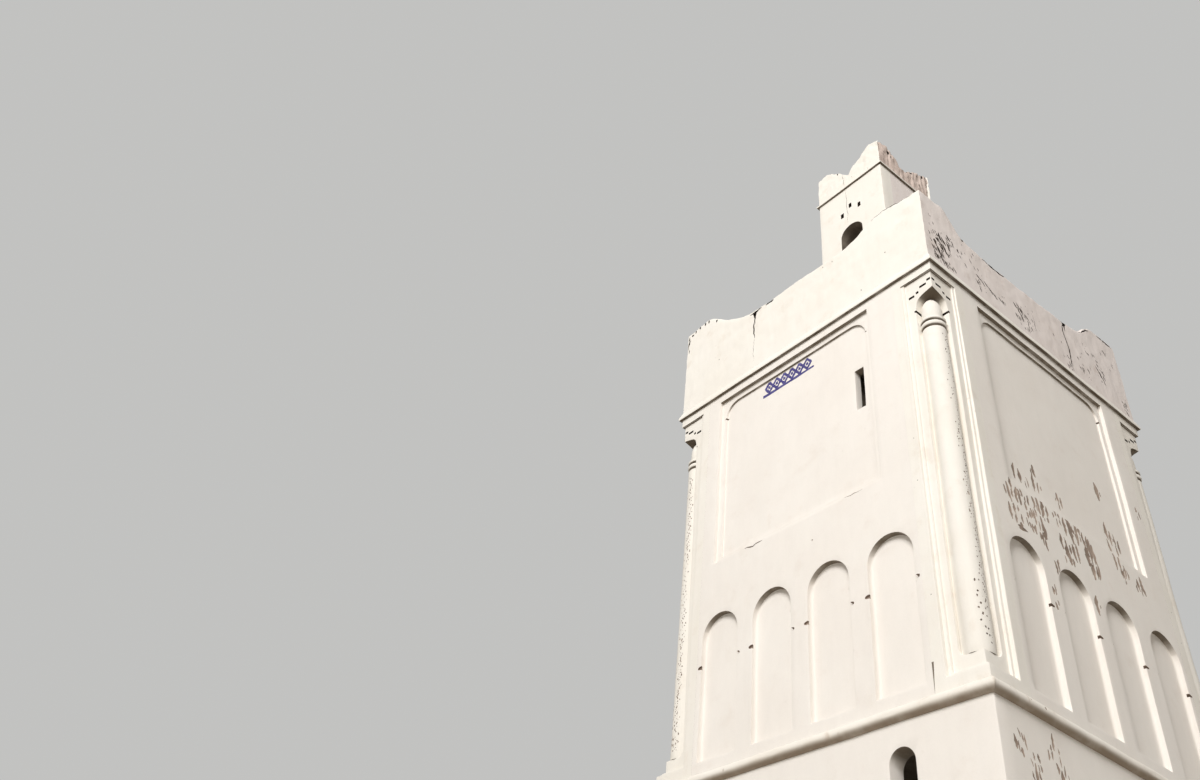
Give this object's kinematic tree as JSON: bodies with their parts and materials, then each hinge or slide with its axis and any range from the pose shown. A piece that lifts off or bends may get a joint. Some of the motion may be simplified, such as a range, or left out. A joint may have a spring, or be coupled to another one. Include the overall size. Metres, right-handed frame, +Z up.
{
  "type": "minaret",
  "caption": "Square limewashed minaret with a string course, blind arches, sunk panels, corner columns in niches, a walled terrace and a small square lantern.",
  "frame": {"origin": "on the ground at the middle of the square plan", "axes": "+Z up; the face with the slit and the small window looks along -Y; the doorway is in the +Y face"},
  "size_m": [4.6378, 4.6378, 17.608],
  "materials": {
    "ivory_limewash": "matt limewash, warm ivory",
    "pale_limewash": "matt limewash, faintly pink white",
    "weathered_limewash": "matt limewash, stained and worn",
    "floor_screed": "rough trowelled lime screed",
    "blue_paint": "matt blue limewash, brushed on"
  },
  "bodies": {
    "root": {"ground_floor": "floor_screed", "lower_wall_front": "pale_limewash", "lower_wall_right": "pale_limewash", "lower_wall_left": "pale_limewash", "door_jamb_wall_left": "pale_limewash", "door_jamb_wall_right": "pale_limewash", "door_head_wall": "pale_limewash", "string_course_front": "weathered_limewash", "string_course_right": "weathered_limewash", "string_course_back": "weathered_limewash", "string_course_left": "weathered_limewash", "upper_wall_front": "pale_limewash", "upper_wall_right": "pale_limewash", "upper_wall_back": "pale_limewash", "upper_wall_left": "pale_limewash", "corner_pier_front_right": "ivory_limewash", "corner_pier_back_right": "ivory_limewash", "corner_pier_back_left": "ivory_limewash", "corner_pier_front_left": "ivory_limewash", "corner_column_front_right": "ivory_limewash", "corner_column_back_right": "ivory_limewash", "corner_column_back_left": "ivory_limewash", "corner_column_front_left": "ivory_limewash", "terrace_ledge_front": "ivory_limewash", "terrace_ledge_right": "ivory_limewash", "terrace_ledge_back": "ivory_limewash", "terrace_ledge_left": "ivory_limewash", "parapet_front": "ivory_limewash", "parapet_right": "ivory_limewash", "parapet_back": "ivory_limewash", "parapet_left": "ivory_limewash", "terrace_floor": "floor_screed", "lantern_wall_front": "ivory_limewash", "lantern_wall_right": "ivory_limewash", "lantern_wall_back": "ivory_limewash", "lantern_wall_left": "ivory_limewash", "lantern_ledge_front": "ivory_limewash", "lantern_ledge_right": "ivory_limewash", "lantern_ledge_back": "ivory_limewash", "lantern_ledge_left": "ivory_limewash", "lantern_parapet_front": "ivory_limewash", "lantern_parapet_right": "ivory_limewash", "lantern_parapet_back": "ivory_limewash", "lantern_parapet_left": "ivory_limewash", "lantern_roof": "floor_screed"}
  },
  "joints": []
}
